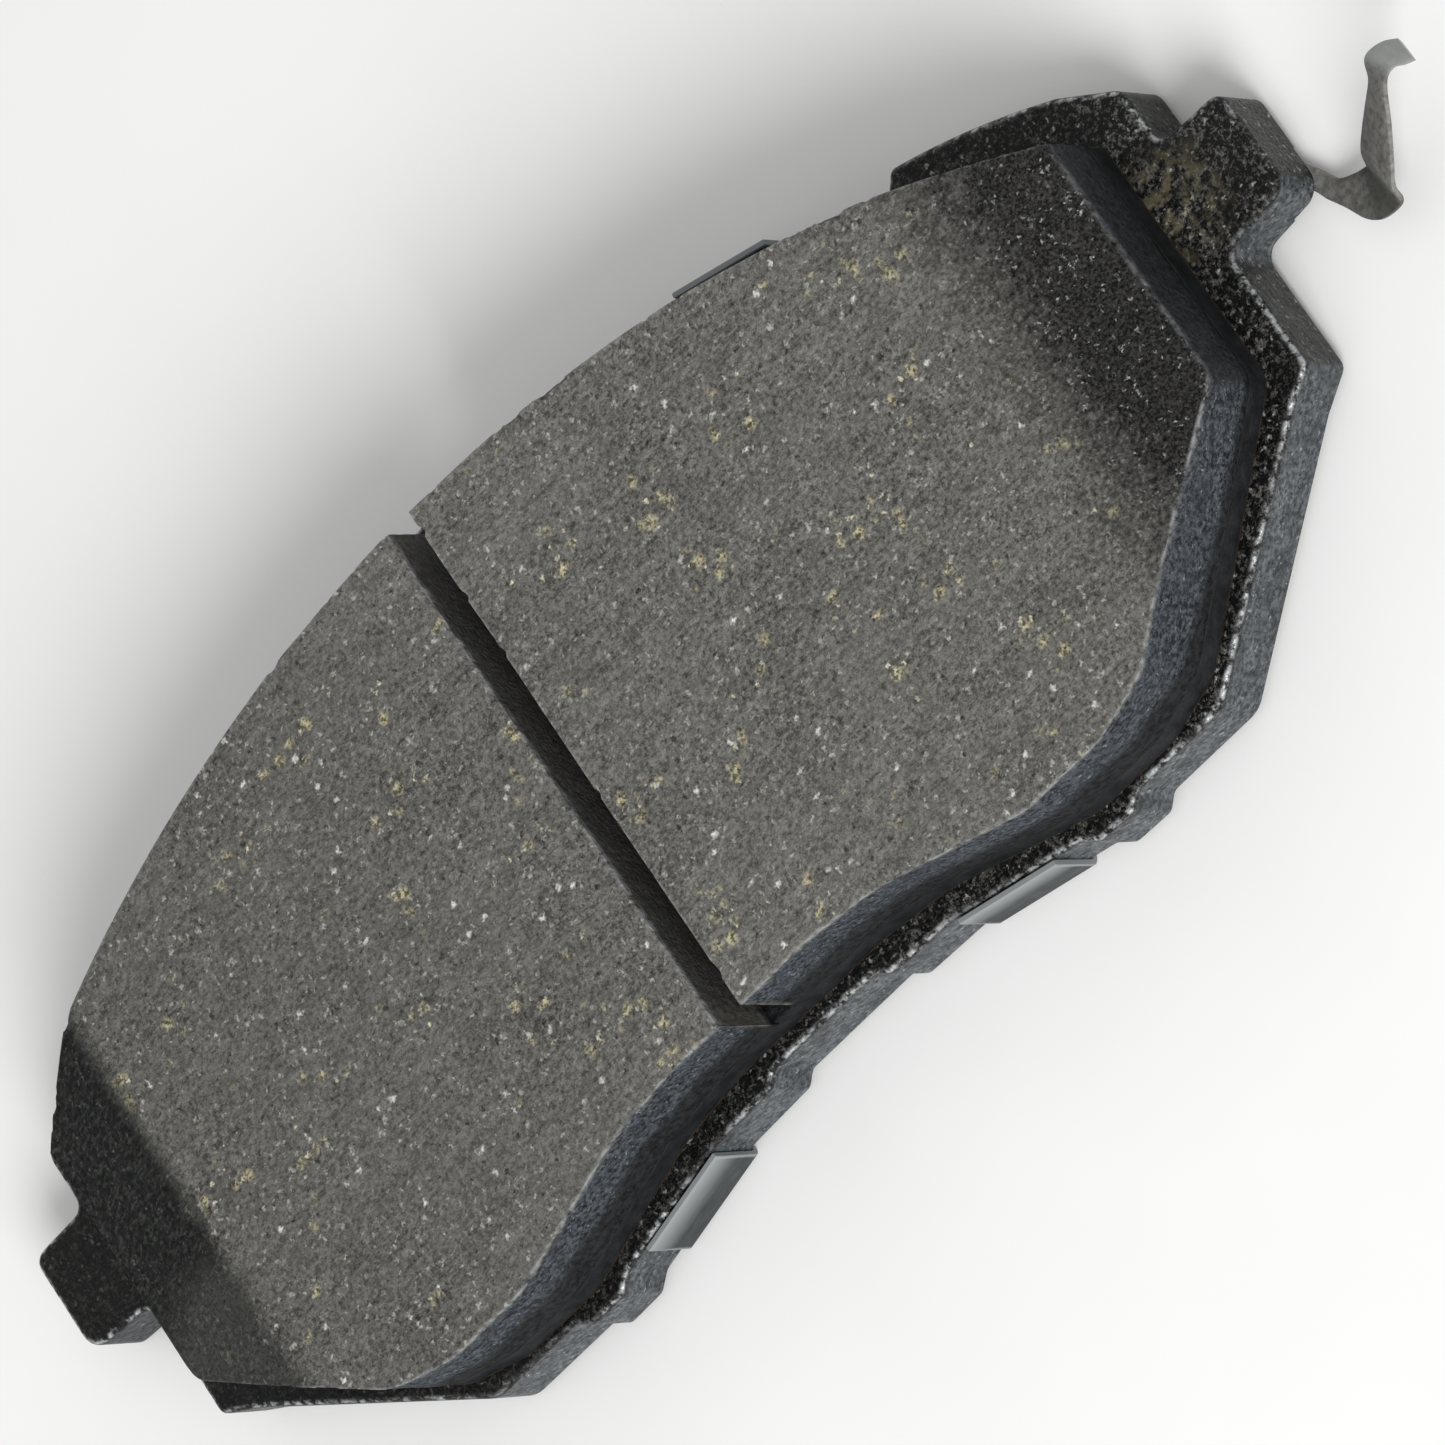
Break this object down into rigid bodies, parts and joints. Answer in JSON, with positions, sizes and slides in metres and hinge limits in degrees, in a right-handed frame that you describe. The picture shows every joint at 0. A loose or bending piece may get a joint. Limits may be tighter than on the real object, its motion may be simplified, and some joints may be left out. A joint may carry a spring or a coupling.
{
  "type": "disc brake pad",
  "caption": "Front disc brake pad: steel backing plate with guide ears, slotted and chamfered friction lining, clipped steel shim and a riveted spring wear indicator.",
  "frame": {"origin": "middle of the lining's length and height, on the rear face of the shim where the caliper piston presses", "axes": "+X along the pad towards the ear with the wear indicator, +Y away from the wheel axis, +Z out of the friction face towards the brake disc"},
  "size_m": [0.1517, 0.0559, 0.0165],
  "materials": {
    "plate_paint": "thin black paint over shot-blasted steel, worn bright on the edges",
    "shim_steel": "satin grey coated sheet, bright cut edges",
    "shim_rubber": "matt black",
    "bond_film": "cured adhesive film",
    "underlayer": "moulded, matt dark grey",
    "friction": "ground composite with pale and brass-coloured specks, moulded blue-grey walls",
    "spring_steel": "matt zinc-grey spring steel"
  },
  "bodies": {
    "root": {"backing_plate": "plate_paint", "shim_core": "shim_steel", "shim_rubber": "shim_rubber", "shim_adhesive": "bond_film", "lining_adhesive": "bond_film", "lining_underlayer": "underlayer", "friction_lining": "friction", "wear_indicator": "spring_steel", "wear_indicator_rivet": "spring_steel"}
  },
  "joints": []
}
